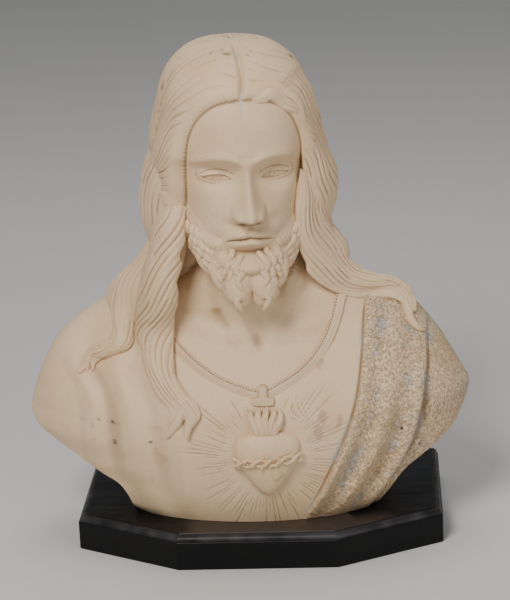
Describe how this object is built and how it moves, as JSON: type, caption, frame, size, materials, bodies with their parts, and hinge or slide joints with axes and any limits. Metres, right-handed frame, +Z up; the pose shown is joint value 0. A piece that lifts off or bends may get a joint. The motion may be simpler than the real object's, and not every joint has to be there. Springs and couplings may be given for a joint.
{
  "type": "religious bust figurine",
  "caption": "Cream bisque bust of a bearded man with long wavy hair and a heart relief on the chest, on a black moulded plinth.",
  "frame": {"origin": "middle of the plinth's flat underside, which the object stands on", "axes": "+Z up, the front of the plinth and the chest look along -Y, +X is the viewer's right"},
  "size_m": [0.3817, 0.2021, 0.4364],
  "materials": {
    "bisque": "unglazed matte cream",
    "plinth": "black satin paint"
  },
  "bodies": {
    "root": {"bust": "bisque", "plinth": "plinth"}
  },
  "joints": []
}
